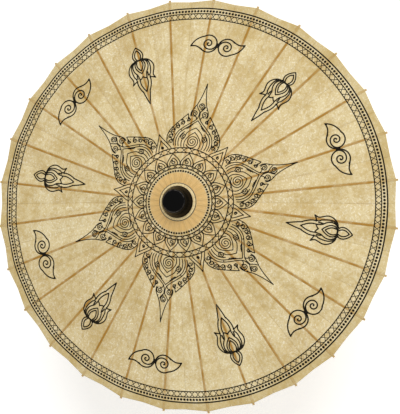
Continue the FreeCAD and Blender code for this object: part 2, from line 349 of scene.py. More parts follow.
def paper_finish(colours):
    """Oiled mulberry paper: blotches, long fibres, ribs seen through it as painted lines of their
    brown and their shade, painted shade along the mid-panel crease, and the ink drawing, all on the
    flat plan of the canopy so that they fold with it."""
    finish = Finish("painted_paper", Specular_IOR_Level=0.06)
    plan = finish.node("ShaderNodeUVMap", {"uv_map": "plan"}).outputs[0]
    u, v, _ = finish.split(plan)
    x, y = (u - 0.5) * 2.0, (v - 0.5) * 2.0
    flat = finish.join(x, y, 0.0)
    radius, angle = polar(finish, x, y)

    blotches = finish.noise(flat, 5.5, 5.0, 0.62)
    grain = finish.noise(flat, 48.0, 4.0, 0.65)
    fine = finish.noise(flat, 190.0, 3.0, 0.7)
    cloudy = (blotches * 0.6 + grain * 0.4).ramp(0.36, 0.62)
    colour = finish.mix(cloudy, colours.paper_dark, colours.paper)
    fibre = None
    for scale, twist, width in ((9.0, 2.2, 0.010), (15.0, 2.6, 0.012), (24.0, 2.0, 0.014)):
        level = finish.noise(flat, scale, 2.5, 0.55, twist)
        thread = abs(level - 0.5).ramp(width, 0.0)
        fibre = thread if fibre is None else fibre.most(thread)
    fibre = fibre * grain.ramp(0.42, 0.58)
    smoke = finish.noise(flat, 1.4, 2.0).ramp(0.42, 0.66)
    colour = finish.mix(smoke * 0.22, colour, srgb(178, 146, 84))
    colour = finish.mix(fibre * 0.65, colour, srgb(250, 241, 214))
    flecks = finish.noise(flat, 105.0, 2.5, 0.6).ramp(0.53, 0.66) * blotches.ramp(0.38, 0.60)
    colour = finish.mix(flecks * 0.68, colour, srgb(252, 244, 220))
    colour = finish.mix(fine.ramp(0.45, 0.72) * 0.30, colour, colours.paper_dark)
    streaks = finish.noise(finish.join(radius * 5.0, angle * 34.0, 3.7), 1.0, 4.0, 0.65)
    colour = finish.mix(streaks.ramp(0.50, 0.68) * 0.22, colour, srgb(176, 140, 78))
    colour = finish.mix(radius.ramp(0.955, 0.962) * 0.35, colour, srgb(190, 166, 106))

    crown = radius.ramp(0.143, 0.136) * radius.ramp(0.088, 0.092)
    from_rib = abs(repeat(angle, COUNT, 0.5))
    to_crease = 1.0 - from_rib
    pleats = to_crease.ramp(0.45, 1.0) * crown
    wash = radius.ramp(0.46, 0.26) * radius.ramp(0.15, 0.19) * blotches.ramp(0.42, 0.62)
    colour = finish.mix(crown * 0.78 + wash * 0.42, colour, colours.paper_warm)

    # Painted rib line: each rib's brown and its shade seen through the paper, fading at random and
    # towards the crown and the rim.
    across = from_rib * radius * HALF_PITCH
    fade = finish.noise(flat, 14.0, 2.0).ramp(0.30, 0.62) * 0.35 + 0.60
    inner, outer = radius.ramp(0.15, 0.42), radius.ramp(0.93, 0.89)
    rib = across.ramp(0.0072, 0.0034) * fade * (inner * 0.6 + 0.4) * (outer * 0.6 + 0.4)
    # Painted shade: a faint dark line along the middle of each panel, where it is creased, in the
    # rib line's colour.
    crease = to_crease * radius * HALF_PITCH
    painted_crease_shade = crease.ramp(0.0070, 0.0) * grain.ramp(0.40, 0.62) * 0.10
    colour = finish.mix(rib.most(painted_crease_shade), colour, colours.rib_shadow)
    colour = finish.mix(pleats * 0.22, colour, srgb(250, 226, 168))

    drawn = finish.value("ShaderNodeAttribute", {"attribute_name": "ink_distance"}, output="Fac")
    strength = finish.value("ShaderNodeAttribute", {"attribute_name": "ink_strength"}, output="Fac")
    nearest = drawn.least(ring_drawing(radius, angle))
    ink = nearest.ramp(0.0009, -0.0001) * strength * (fine.ramp(0.30, 0.55) * 0.08 + 0.92)
    colour = finish.mix(ink, colour, colours.ink)

    roughness = 0.52 + blotches * 0.16 - ink * 0.10
    height = grain * 0.35 + fine * 0.2 + fibre * 0.4 + finish.noise(flat, 7.0, 2.0) * 2.2
    return finish.surface(colour, roughness, height, 0.0011, 0.55)


def bamboo_finish(name, colours, shade):
    """Split bamboo: fine straight fibres along each strip, a joint here and there, and painted
    shade that darkens the whole strip when shade is below 1.
    """
    finish = Finish(name, Specular_IOR_Level=0.45, Coat_Weight=0.12, Coat_Roughness=0.3)
    _, (x, y, z) = finish.place()
    radius, angle = polar(finish, x, y)
    turns = angle * (COUNT / (2.0 * math.pi))
    number = turns.math("FLOOR")
    across = (turns.math("FRACT") - 0.5) * radius * PITCH
    shifted = radius + number * 0.731
    fibres = finish.noise(finish.join(shifted * 6.0, across * 900.0, z * 420.0), 1.0, 4.0, 0.6)
    tone = finish.noise(finish.join(shifted * 9.0, number, 0.0), 1.0, 2.0)
    dark = (fibres * 0.75 + tone * 0.35).ramp(0.40, 0.74)
    colour = finish.mix(dark, colours.bamboo, colours.bamboo_dark)
    # Painted shade: the whole strip darkened towards dark brown by 1 - shade, so a copy made with a
    # lower shade is darker all over.
    colour = finish.mix(1.0 - shade, colour, (0.22, 0.13, 0.06))
    step = ((radius + number * 0.0613) / 0.172).math("FRACT")
    joint = abs(step - 0.5).ramp(0.012, 0.003)
    colour = finish.mix(joint * 0.55, colour, colours.bamboo_dark)
    tip = radius.ramp(RIM_RADIUS - 0.004, RIM_RADIUS - 0.001)
    colour = finish.mix(tip * 0.6, colour, colours.paper_dark)
    roughness = 0.42 + fibres * 0.2
    return finish.surface(colour, roughness, fibres * 0.5 + joint * 1.4, 0.0004, 0.6)


def wood_finish(name, light, dark, coat, roughness, turned=0.2):
    """Turned wood: growth rings stretched along the shaft, pores and fine turning marks."""
    finish = Finish(name, Coat_Weight=coat, Coat_Roughness=0.12, Specular_IOR_Level=0.5)
    _, (x, y, z) = finish.place()
    long_way = finish.join(x * 26.0, y * 26.0, z * 2.2)
    bend = finish.noise(long_way, 1.0, 2.0)
    rings = ((x * 210.0 + y * 60.0 + bend * 7.0).math("SINE") + 1.0) * 0.5
    pores = finish.noise(finish.join(x * 900.0, y * 900.0, z * 26.0), 1.0, 3.0, 0.7)
    colour = finish.mix((rings * 0.55 + pores * 0.5).ramp(0.25, 0.85), light, dark)
    turning = (z * 5200.0).math("SINE") * turned
    rough = roughness + pores * 0.14
    return finish.surface(colour, rough, pores * 0.6 + turning, 0.0002, 0.5)


def lacquer_finish(colours):
    """Black lacquer over turned wood: faint turning marks, wear, and a pale painted highlight round
    the edge of its top, broken up like wear.
    """
    finish = Finish(
        "black_lacquer", Specular_IOR_Level=0.06, Coat_Weight=0.04, Coat_Roughness=0.05)
    vector, (x, y, z) = finish.place()
    wear = finish.noise(vector, 140.0, 4.0, 0.65)
    colour = finish.mix(wear.ramp(0.66, 0.90) * 0.25, colours.lacquer, srgb(40, 30, 24))
    radius, _ = polar(finish, x, y)
    # Painted highlight: a pale grey ring on the rounded edge of the top, broken up by the wear
    # noise, standing in for a lamp's glint.
    edge = abs(radius - 0.0212).ramp(0.0012, 0.0003) * z.ramp(CAP_TOP - 0.006, CAP_TOP - 0.003)
    colour = finish.mix(edge * wear.ramp(0.40, 0.62) * 0.40, colour, srgb(112, 104, 96))
    turning = (radius * 2600.0 + z * 3400.0).math("SINE") * 0.12
    return finish.surface(colour, 0.16 + wear * 0.16, wear * 0.3 + turning, 0.00008, 0.4)


def ring_finish(colours):
    """Layered paper of the crown and the pale ring, with an ink line near the ring's edge."""
    finish = Finish("layered_paper", Specular_IOR_Level=0.4)
    vector, (x, y, _) = finish.place()
    radius, angle = polar(finish, x, y)
    grain = finish.noise(vector, 420.0, 4.0, 0.65)
    colour = finish.mix(grain.ramp(0.35, 0.7), srgb(236, 218, 168), srgb(206, 176, 116))
    # Painted shade: darker lines over the ribs, the ribs' brown and shade seen through the paper.
    rib_spoke_shade = (angle * float(COUNT)).math("COSINE").ramp(0.55, 1.0)
    colour = finish.mix(rib_spoke_shade * 0.18, colour, colours.rib_shadow)
    line = abs(radius - 0.0364).ramp(0.0010, 0.0006)
    colour = finish.mix(line * 0.92, colour, colours.ink)
    return finish.surface(colour, 0.5 + grain * 0.15, grain, 0.0003, 0.6)


def thread_finish(colours):
    """Twisted cotton thread: fine slanting plies."""
    finish = Finish("cotton_thread", Sheen_Weight=0.3, Specular_IOR_Level=0.3)
    vector, (x, y, z) = finish.place()
    plies = ((x + y + z) * 9000.0).math("SINE") * 0.5 + 0.5
    fuzz = finish.noise(vector, 1500.0, 2.0)
    colour = finish.mix(plies * 0.4 + fuzz * 0.3, colours.thread, srgb(150, 128, 84))
    return finish.surface(colour, 0.82 + fuzz * 0.1, plies, 0.0001, 0.7)


def steel_finish(colours):
    """Drawn spring steel: brushed along Z, slightly dulled."""
    finish = Finish("drawn_steel", Metallic=1.0)
    _, (x, y, z) = finish.place()
    brushed = finish.noise(finish.join(x * 4000.0, y * 4000.0, z * 120.0), 1.0, 3.0)
    dull = finish.noise(finish.join(x, y, z), 160.0, 3.0)
    colour = finish.mix(dull.ramp(0.45, 0.8), colours.steel, srgb(96, 92, 88))
    return finish.surface(colour, 0.26 + brushed * 0.22, brushed, 0.00004, 0.5)


MADE_FINISHES = {}


def finish_named(name):
    """The finish of that name, made the first time it is asked for."""
    if name in MADE_FINISHES:
        return MADE_FINISHES[name]
    colours = bpy.context.scene.umbrella_colours
    makers = {
        "oiled_paper": lambda: paper_finish(colours),
        "rib_bamboo": lambda: bamboo_finish("rib_bamboo", colours, 1.0),
        # The stretchers' copy is darkened all over by painted shade (0.86).
        "stretcher_bamboo": lambda: bamboo_finish("stretcher_bamboo", colours, 0.86),
        "turned_wood": lambda: wood_finish(
            "pale_turned_wood", colours.wood, colours.wood_dark, 0.2, 0.36),
        "shaft_wood": lambda: wood_finish(
            "shaft_wood", colours.bamboo, colours.wood, 0.25, 0.34, 0.0),
        "handle_wood": lambda: wood_finish(
            "handle_wood", srgb(74, 34, 20), srgb(34, 15, 10), 0.7, 0.28),
        "black_lacquer": lambda: lacquer_finish(colours),
        "layered_paper": lambda: ring_finish(colours),
        "cotton_thread": lambda: thread_finish(colours),
        "spring_steel": lambda: steel_finish(colours),
    }
    MADE_FINISHES[name] = makers[name]()
    return MADE_FINISHES[name]


# ---- meshes from whole arrays ----
def piece_from_arrays(name, points, corners, sizes, finish, body):
    """A mesh object from points, the corners of all faces in a row, and each face's size."""
    points, corners = np.ascontiguousarray(points, np.float32), np.asarray(corners, np.int32)
    sizes = np.asarray(sizes, np.int32)
    mesh = bpy.data.meshes.new(name)
    mesh.vertices.add(len(points))
    mesh.vertices.foreach_set("co", points.ravel())
    mesh.loops.add(len(corners))
    mesh.loops.foreach_set("vertex_index", corners)
    mesh.polygons.add(len(sizes))
    starts = np.concatenate([[0], np.cumsum(sizes)[:-1]]).astype(np.int32)
    mesh.polygons.foreach_set("loop_start", starts)
    mesh.polygons.foreach_set("use_smooth", np.full(len(sizes), True))
    mesh.update(calc_edges=True)
    mesh.validate()
    mesh.materials.append(finish_named(finish))
    piece = bpy.data.objects.new(name, mesh)
    bpy.context.scene.collection.objects.link(piece)
    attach(piece, body)
    return piece


def grid_corners(rows, columns, first=0, closed_rows=False, closed_columns=False):
    """Quads of a rows by columns grid of points, counter-clockwise from (row, column)."""
    row = np.arange(rows if closed_rows else rows - 1)[:, None]
    column = np.arange(columns if closed_columns else columns - 1)[None, :]
    down, right = (row + 1) % rows, (column + 1) % columns
    quads = np.stack(np.broadcast_arrays(
        row * columns + column, down * columns + column,
        down * columns + right, row * columns + right), axis=-1)
    return quads.reshape(-1, 4) + first


def sharp_by_angle(piece, degrees=35.0):
    piece.data.set_sharp_from_angle(angle=math.radians(degrees))


def turned_points(outline, segments):
    """The outline's (radius, height) points carried round the shaft, one circle after another."""
    angle = np.arange(segments) * (2.0 * math.pi / segments)
    return np.stack([
        outline[:, :1] * np.cos(angle), outline[:, :1] * np.sin(angle),
        np.repeat(outline[:, 1:], segments, axis=1)], axis=-1).reshape(-1, 3)


def lathed(name, profile, finish, segments=96, sharp=35.0):
    """A turned solid: the profile's (radius, height) points, from the axis back to the axis,
    are carried round the shaft. Each end point on the axis is one pole vertex."""
    profile = np.asarray(profile, float)
    poles = np.array([[0.0, 0.0, profile[0, 1]], [0.0, 0.0, profile[-1, 1]]])
    points = np.concatenate([turned_points(profile[1:-1], segments), poles])
    rows = len(profile) - 2
    quads = grid_corners(rows, segments, closed_columns=True)[:, ::-1]
    here, after = np.arange(segments), (np.arange(segments) + 1) % segments
    low, high = rows * segments, rows * segments + 1
    last = (rows - 1) * segments
    bottom = np.stack([np.full(segments, low), after, here], axis=1)
    top = np.stack([np.full(segments, high), last + here, last + after], axis=1)
    corners = np.concatenate([quads.ravel(), bottom.ravel(), top.ravel()])
    sizes = [4] * len(quads) + [3] * (2 * segments)
    piece = piece_from_arrays(name, points, corners, sizes, finish, ROOT)
    sharp_by_angle(piece, sharp)
    return piece


def turned_ring(name, inner, outer, low, thickness, edge, finish):
    """A flat ring of paper on the roof's slope, closed all round: its rounded outline is
    carried round the shaft and both rows of ends are joined."""
    fall = math.tan(SLOPE)
    a, b = (low - inner * fall, low - outer * fall)
    middle = (inner + outer) / 2
    outline = rounded([
        (middle, low - middle * fall), (outer, b), (outer, b + thickness),
        (inner, a + thickness), (inner, a), (middle, low - middle * fall)], edge, 4)[:-1]
    segments = COUNT * 6
    points = turned_points(outline, segments)
    rows = len(outline)
    ring = np.arange(segments)
    last = np.stack([
        (rows - 1) * segments + ring, (rows - 1) * segments + (ring + 1) % segments,
        (ring + 1) % segments, ring], axis=1)
    quads = np.concatenate([
        grid_corners(rows, segments, closed_columns=True)[:, ::-1], last])
    piece = piece_from_arrays(name, points, quads.ravel(), [4] * len(quads), finish, ROOT)
    sharp_by_angle(piece, 35.0)
    return piece


def rounded(points, radius, steps=5):
    """The outline with each inner corner swapped for a curve that starts radius before it."""
    points = np.asarray(points, float)
    rows = [points[:1]]
    share = np.linspace(0.0, 1.0, steps)[:, None]
    for before, corner, after in zip(points[:-2], points[1:-1], points[2:]):
        back, forth = before - corner, after - corner
        reach = min(radius, 0.45 * np.linalg.norm(back), 0.45 * np.linalg.norm(forth))
        start = corner + back / np.linalg.norm(back) * reach
        end = corner + forth / np.linalg.norm(forth) * reach
        rows.append((1 - share) ** 2 * start + 2 * share * (1 - share) * corner + share**2 * end)
    rows.append(points[-1:])
    return np.concatenate(rows)


def tube(name, path, radius, finish, body, closed=False, sides=10):
    """A round thread or wire: a circle carried along the path, square to it at each point."""
    path = np.asarray(path, float)
    if closed:
        along = np.roll(path, -1, axis=0) - np.roll(path, 1, axis=0)
    else:
        along = np.gradient(path, axis=0)
    along /= np.linalg.norm(along, axis=1, keepdims=True)
    helper = np.where(np.abs(along[:, 2:]) > 0.9, [[1.0, 0.0, 0.0]], [[0.0, 0.0, 1.0]])
    side = np.cross(helper, along)
    side /= np.linalg.norm(side, axis=1, keepdims=True)
    up = np.cross(along, side)
    turn = np.arange(sides) * (2.0 * math.pi / sides)
    rings = path[:, None] + radius * (
        side[:, None] * np.cos(turn)[:, None] + up[:, None] * np.sin(turn)[:, None])
    points = rings.reshape(-1, 3)
    quads = grid_corners(len(path), sides, closed_rows=closed, closed_columns=True)[:, ::-1]
    corners, sizes = [quads.ravel()], [4] * len(quads)
    if not closed:
        last = (len(path) - 1) * sides
        corners += [np.arange(sides)[::-1], last + np.arange(sides)]
        sizes += [sides, sides]
    return piece_from_arrays(name, points, np.concatenate(corners), sizes, finish, body)


def wire_circle(name, height, finish, body):
    """A wire or thread round the shaft through all the pivots, at that height."""
    angle = np.linspace(0.0, 2.0 * math.pi, COUNT * 6 + 1)[:-1]
    circle = np.stack([np.cos(angle), np.sin(angle), np.zeros_like(angle)], axis=1)
    path = circle * PIVOT_RADIUS + (0, 0, height)
    return tube(name, path, WIRE_RADIUS, finish, body, closed=True)


def stands_for(piece, node):
    """Hides the CAD node that the piece stands in for."""
    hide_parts(node)


def softened(node, name, finish, sizes):
    """A CAD node's copy with rounded edges, in the node's place."""
    stands_for(cad_copy(name, node, finish, node, sizes.edge_round), node)


def cad_copy(name, node, finish, body, bevel, keep=None):
    """A copy of a CAD solid with its doubles merged and its edges rounded. keep picks one
    solid of the node by its lowest and highest corners."""
    mesh = frame["nodes"][node].data.copy()
    work = bmesh.new()
    work.from_mesh(mesh)
    bmesh.ops.remove_doubles(work, verts=work.verts, dist=2e-6)
    if keep:
        drop_other_solids(work, keep)
    bmesh.ops.dissolve_limit(
        work, angle_limit=math.radians(1.0), verts=work.verts, edges=work.edges)
    work.to_mesh(mesh)
    work.free()
    mesh.materials.clear()
    mesh.materials.append(finish_named(finish))
    mesh.name = name
    piece = bpy.data.objects.new(name, mesh)
    bpy.context.scene.collection.objects.link(piece)
    rounding = piece.modifiers.new("edges", "BEVEL")
    rounding.width = bevel
    rounding.segments = 2
    rounding.limit_method = "ANGLE"
    rounding.angle_limit = math.radians(32.0)
    rounding.harden_normals = False
    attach(piece, body)
    return piece


def drop_other_solids(work, keep):
    """Deletes every loose solid whose box keep() turns down."""
    waiting = set(work.verts)
    while waiting:
        solid, front = set(), [waiting.pop()]
        while front:
            vertex = front.pop()
            solid.add(vertex)
            for edge in vertex.link_edges:
                other = edge.other_vert(vertex)
                if other in waiting:
                    waiting.discard(other)
                    front.append(other)
        places = np.array([vertex.co[:] for vertex in solid])
        if not keep(places.min(0), places.max(0)):
            bmesh.ops.delete(work, geom=list(solid), context="VERTS")


# ---- the ink drawing ----
# Lengths are shares of the rim's radius, and a motif's axis runs outwards along x.
def curve(points, steps=10):
    """A chain of cubic Bezier curves through 3n + 1 control points, as one row of points."""
    control = np.asarray(points, float)
    share = np.linspace(0.0, 1.0, steps + 1)[:, None]
    rows = []
    for first in range(0, len(control) - 1, 3):
        a, b, c, d = control[first : first + 4]
        rest = 1.0 - share
        rows.append(rest**3 * a + 3 * rest**2 * share * b + 3 * rest * share**2 * c + share**3 * d)
    return np.concatenate(rows)


def coil(x, y, radius, turns, start, hand=1.0, inner=0.12, steps=18):
    """A flat spiral whose radius shrinks evenly from radius to inner times radius."""
    share = np.linspace(0.0, 1.0, int(steps * turns) + 2)
    angle = start + hand * 2.0 * math.pi * turns * share
    reach = radius * (1.0 - (1.0 - inner) * share)
    return np.stack([x + reach * np.cos(angle), y + reach * np.sin(angle)], axis=1)


def both_sides(lines):
    """The lines and their mirror images across the motif's axis."""
    return lines + [line * (1.0, -1.0) for line in lines]


def petal_lines():
    """One large petal: spirals, chevrons, a double ogee and a scrolled border."""
    lines = [
        curve([
            (0.260, 0.118), (0.280, 0.133), (0.312, 0.137), (0.340, 0.118),
            (0.368, 0.098), (0.386, 0.086), (0.422, 0.055)]),
        curve([(0.422, 0.055), (0.410, 0.050), (0.404, 0.048), (0.398, 0.050)], 5),
        curve([
            (0.412, 0.040), (0.436, 0.050), (0.450, 0.032), (0.478, 0.021),
            (0.508, 0.010), (0.540, 0.005), (0.580, 0.000)]),
        curve([
            (0.260, 0.088), (0.282, 0.099), (0.318, 0.096), (0.342, 0.073),
            (0.366, 0.050), (0.378, 0.030), (0.400, 0.009), (0.412, 0.002),
            (0.420, 0.002), (0.440, 0.002)]),
        curve([
            (0.260, 0.077), (0.282, 0.087), (0.316, 0.085), (0.336, 0.065),
            (0.354, 0.047), (0.368, 0.028), (0.396, 0.000)]),
        curve([(0.260, 0.064), (0.280, 0.073), (0.310, 0.078), (0.334, 0.050)]),
        curve([(0.350, 0.046), (0.350, 0.034), (0.366, 0.030), (0.372, 0.020)], 6),
        curve([(0.360, 0.000), (0.352, 0.012), (0.346, 0.022), (0.334, 0.034)], 6),
        curve([(0.334, 0.034), (0.326, 0.044), (0.300, 0.040), (0.297, 0.052)], 8),
        curve([(0.338, 0.000), (0.326, 0.014), (0.318, 0.024), (0.306, 0.031)], 6),
        curve([(0.260, 0.050), (0.276, 0.056), (0.290, 0.056), (0.296, 0.052)], 6),
        curve([(0.260, 0.034), (0.272, 0.042), (0.290, 0.042), (0.306, 0.031)], 8),
        coil(0.311, 0.051, 0.0145, 1.6, 3.0, -1.0, 0.15),
        coil(0.428, 0.024, 0.0165, 1.7, 2.6, -1.0, 0.15),
        curve([(0.400, 0.009), (0.412, 0.010), (0.418, 0.016), (0.413, 0.026)], 6),
        curve([(0.440, 0.002), (0.450, 0.008), (0.452, 0.016), (0.466, 0.020)], 6),
    ]
    for x, y, size in PETAL_SCROLLS:
        lines.append(coil(x, y, size, 1.15, 2.4, -1.0, 0.30, 14))
        lines.append(curve([
            (x + 0.6 * size, y - 0.8 * size), (x + 1.3 * size, y - 0.2 * size),
            (x + 1.6 * size, y + 0.2 * size), (x + 1.7 * size, y + 1.0 * size)], 4))
    lines = both_sides(lines)
    lines.append(coil(0.292, 0.002, 0.0320, 2.6, 2.2, 1.0, 0.10))
    lines.append(coil(0.468, 0.000, 0.0165, 1.8, 3.1, 1.0, 0.20))
    return lines


PETAL_SCROLLS = [
    (0.275, 0.106, 0.0112), (0.301, 0.112, 0.0118), (0.327, 0.106, 0.0112),
    (0.350, 0.089, 0.0110), (0.372, 0.069, 0.0106), (0.391, 0.044, 0.0082)]


def petal_dots():
    """Dots in the hollows between the petal's border scrolls."""
    places = [
        (0.288, 0.125), (0.314, 0.127), (0.290, 0.097), (0.339, 0.116), (0.316, 0.098),
        (0.360, 0.099), (0.384, 0.078), (0.398, 0.060), (0.452, 0.029), (0.446, 0.008),
        (0.340, 0.070), (0.362, 0.027)]
    return [(x, side * y, 0.0023) for x, y in places for side in (1, -1)]


def flame_lines():
    """The small flame between two petals, on the motif's axis."""
    edge = curve([(0.260, 0.040), (0.284, 0.032), (0.306, 0.014), (0.344, 0.000)])
    fold = curve([(0.260, 0.024), (0.276, 0.022), (0.290, 0.008), (0.312, 0.000)])
    return both_sides([edge, fold]) + [coil(0.274, 0.0, 0.0078, 1.2, 0.3, 1.0, 0.3)]


def small_petal_lines():
    """One pointed petal of the inner ring, with a spiral in its heart."""
    edge = curve([(0.178, 0.029), (0.190, 0.038), (0.212, 0.020), (0.233, 0.000)])
    inner = curve([(0.178, 0.018), (0.190, 0.024), (0.203, 0.012), (0.212, 0.000)])
    return both_sides([edge, inner]) + [coil(0.191, 0.0, 0.0105, 1.1, 0.2, 1.0, 0.30)]


def bud_lines():
    """A lotus bud that hangs towards the rim: a long inner point, nested petals whose tips
    flick outwards, a knot and a drop."""
    lines = [
        curve([(0.508, 0.000), (0.535, 0.008), (0.556, 0.014), (0.580, 0.018)], 5),
        curve([(0.578, 0.019), (0.600, 0.030), (0.620, 0.038), (0.642, 0.034)]),
        curve([(0.574, 0.000), (0.592, 0.010), (0.618, 0.025), (0.646, 0.018)]),
        curve([(0.656, 0.000), (0.650, 0.003), (0.640, 0.016), (0.645, 0.020)], 6),
        curve([
            (0.741, 0.016), (0.748, 0.046), (0.712, 0.068), (0.690, 0.066),
            (0.672, 0.064), (0.660, 0.053), (0.648, 0.053), (0.640, 0.054),
            (0.634, 0.058), (0.629, 0.060)]),
        curve([(0.629, 0.060), (0.634, 0.050), (0.642, 0.042), (0.640, 0.033)], 6),
        curve([(0.735, 0.036), (0.722, 0.052), (0.698, 0.052), (0.662, 0.042)]),
        curve([(0.662, 0.042), (0.656, 0.036), (0.652, 0.034), (0.646, 0.036)], 4),
        curve([
            (0.739, 0.026), (0.722, 0.046), (0.694, 0.042), (0.676, 0.026),
            (0.668, 0.020), (0.656, 0.022), (0.646, 0.018)]),
        curve([(0.676, 0.026), (0.668, 0.030), (0.660, 0.030), (0.652, 0.028)], 4),
        curve([(0.738, 0.019), (0.718, 0.034), (0.694, 0.024), (0.672, 0.000)]),
        curve([(0.736, 0.012), (0.720, 0.021), (0.702, 0.014), (0.687, 0.000)]),
        curve([(0.747, 0.018), (0.758, 0.032), (0.784, 0.032), (0.812, 0.000)]),
        curve([(0.749, 0.009), (0.762, 0.019), (0.780, 0.018), (0.797, 0.000)]),
    ]
    knot = [curve([(0.741 + lift, 0.024), (0.742 + lift, 0.010), (0.742 + lift, -0.010),
                   (0.741 + lift, -0.024)], 6) for lift in (0.0, 0.0026)]
    return both_sides(lines) + knot


def double_spiral_lines():
    """Two comma spirals back to back, each the other's half turn, with pointed outer tails."""
    angle = np.radians(np.arange(38.0, -721.0, -15.0))
    turned = [-720, -630, -540, -450, -360, -270, -180, -90, 0, 38]
    reach = [0.0015, 0.006, 0.0105, 0.0145, 0.0180, 0.0225, 0.0270, 0.0405, 0.0420, 0.0430]
    radius = np.interp(np.degrees(angle), turned, reach)
    x, y = 0.778, 0.046
    loop = np.stack([x + radius * np.cos(angle), y + radius * np.sin(angle)], axis=1)
    under = np.radians(np.arange(-84.0, -236.0, -12.0))
    under = np.stack([x + 0.0440 * np.cos(under), y + 0.0440 * np.sin(under)], axis=1)
    upper_tail = curve([(0.8120, 0.0700), (0.8040, 0.0960), (0.7900, 0.1200), (0.7530, 0.1330)])
    lower_tail = curve([(0.7420, 0.0720), (0.7500, 0.0880), (0.7640, 0.1020), (0.7530, 0.1330)])
    left = [loop, under, upper_tail, lower_tail]
    return left + [(1.548, 0.0) - line for line in left]


PAINTING_TURN = 2.0
# How many, turned by how many degrees, its lines, its dots and half its line width.
MOTIFS = [
    (6, 0.0, petal_lines, petal_dots, 0.0019),
    (6, 30.0, flame_lines, None, 0.0019),
    (6, 30.5, bud_lines, None, 0.0027),
    (6, 0.0, double_spiral_lines, None, 0.0030),
    (18, 0.0, small_petal_lines, None, 0.0019),
]


def distance_to_ink(x, y, reach=INK_REACH):
    """How far each place is outside the nearest drawn line, in shares of the rim's radius.
    A motif is drawn once and the places are turned into its sector; the distance to a line
    is the least distance to its straight pieces."""
    nearest = np.full(x.shape, reach)
    radius = np.hypot(x, y)
    for count, turned_by, lines, dots, half_width in MOTIFS:
        sector = 2.0 * math.pi / count
        angle = np.arctan2(y, x) - math.radians(turned_by + PAINTING_TURN)
        angle = (angle + sector / 2) % sector - sector / 2
        px, py = radius * np.cos(angle), radius * np.sin(angle)
        for line in lines():
            low, high = line.min(0) - reach, line.max(0) + reach
            near = np.nonzero((px > low[0]) & (px < high[0]) & (py > low[1]) & (py < high[1]))[0]
            if not near.size:
                continue
            here = np.stack([px[near], py[near]], axis=1)[:, None, :]
            start, step = line[:-1], np.diff(line, axis=0)
            length = np.maximum((step**2).sum(1), 1e-12)
            along = np.clip(((here - start) * step).sum(2) / length, 0.0, 1.0)
            gap = np.sqrt((((here - start) - along[..., None] * step) ** 2).sum(2)).min(1)
            nearest[near] = np.minimum(nearest[near], gap - half_width)
        for dot_x, dot_y, size in dots() if dots else ():
            nearest = np.minimum(nearest, np.hypot(px - dot_x, py - dot_y) - size)
    return nearest


# ---- the paper ----
def rib_angle(index):
    return (index + 0.5) * PITCH


def sheet_rows(sizes):
    """Distances from the axis at which the paper has a row of points: close together where it
    is drawn on and at the hem, wide apart elsewhere."""
    start, drawn_from, drawn_to = sizes.paper_start, 0.174 * RIM_RADIUS, 0.826 * RIM_RADIUS
    hem = RIM_RADIUS - sizes.hem_width
    dense = int((drawn_to - drawn_from) / sizes.row_step)
    return np.concatenate([
        np.linspace(start, drawn_from, 10)[:-1],
        np.linspace(drawn_from, drawn_to, dense)[:-1],
        np.linspace(drawn_to, hem, 12)[:-1],
        np.linspace(hem, RIM_RADIUS, 7)])


def strip_edge(sizes, level):
    """The glued strip's half width as a share of the half panel's, level from the axis."""
    return sizes.strip_half_width / (level * math.cos(HALF_PITCH) * math.sin(HALF_PITCH))


def paper_points(sizes, level, share, azimuth, side):
    """Points of the paper's upper face. level is the distance from the axis along the rib and
    share runs from 0 at the rib to 1 at the middle of the panel, along a level line; the sheet
    falls with the ribs, sags a little towards the middle, and its rim curves in."""
    tight = strip_edge(sizes, level)
    free = np.clip((share - tight) / np.maximum(1.0 - tight, 1e-6), 0.0, 1.0)
    hollow = sizes.rim_hollow * (level / RIM_RADIUS) ** 12 * free * (2.0 - free)
    level = level - hollow
    along = level * (1.0 - share * math.sin(HALF_PITCH) ** 2)
    across = side * level * share * math.cos(HALF_PITCH) * math.sin(HALF_PITCH)
    sag = sizes.sag_share * level * (0.55 * free + 0.45 * free**2)
    height = PAPER_TOP - level * math.tan(SLOPE) - sag
    x = along * math.cos(azimuth) - across * math.sin(azimuth)
    y = along * math.sin(azimuth) + across * math.cos(azimuth)
    return np.stack(np.broadcast_arrays(x, y, height), axis=-1)


def sheet_piece(name, upper, drop, body):
    """A closed sheet of paper: the dense upper grid, a lower face with three columns, drop
    below it, and the four edges between them."""
    rows, columns = upper.shape[:2]
    picks = [0, columns // 2, columns - 1]
    lower = upper[:, picks].copy()
    lower[..., 2] -= drop[:, picks]
    top = grid_corners(rows, columns)
    first = rows * columns
    bottom = grid_corners(rows, 3, first)[:, ::-1]
    row = np.arange(rows - 1)
    walls = []
    for upper_column, lower_column, flip in ((0, 0, False), (columns - 1, 2, True)):
        a, b = row * columns + upper_column, (row + 1) * columns + upper_column
        c, d = first + (row + 1) * 3 + lower_column, first + row * 3 + lower_column
        wall = np.stack([a, d, c, b], axis=1)
        walls.append(wall[:, ::-1] if flip else wall)
    inner = np.concatenate([np.arange(columns), first + np.array([2, 1, 0])])
    outer = np.concatenate([
        (rows - 1) * columns + np.arange(columns)[::-1], first + (rows - 1) * 3 + np.arange(3)])
    quads = np.concatenate([top, bottom] + walls)
    corners = np.concatenate([quads.ravel(), inner, outer])
    sizes = [4] * len(quads) + [len(inner), len(outer)]
    points = np.concatenate([upper.reshape(-1, 3), lower.reshape(-1, 3)])
    piece = piece_from_arrays(name, points, corners, sizes, "oiled_paper", body)
    plan_map(piece, points)
    ink_attributes(piece, points, rows * columns)
    return piece


def plan_map(piece, points):
    """The UV map named plan: the point's place seen from above, the rim's circle filling it."""
    mesh = piece.data
    layer = mesh.uv_layers.new(name="plan")
    index = np.empty(len(mesh.loops), np.int32)
    mesh.loops.foreach_get("vertex_index", index)
    places = np.asarray(points)[index, :2] / (2.0 * RIM_RADIUS) + 0.5
    layer.data.foreach_set("uv", places.astype(np.float32).ravel())


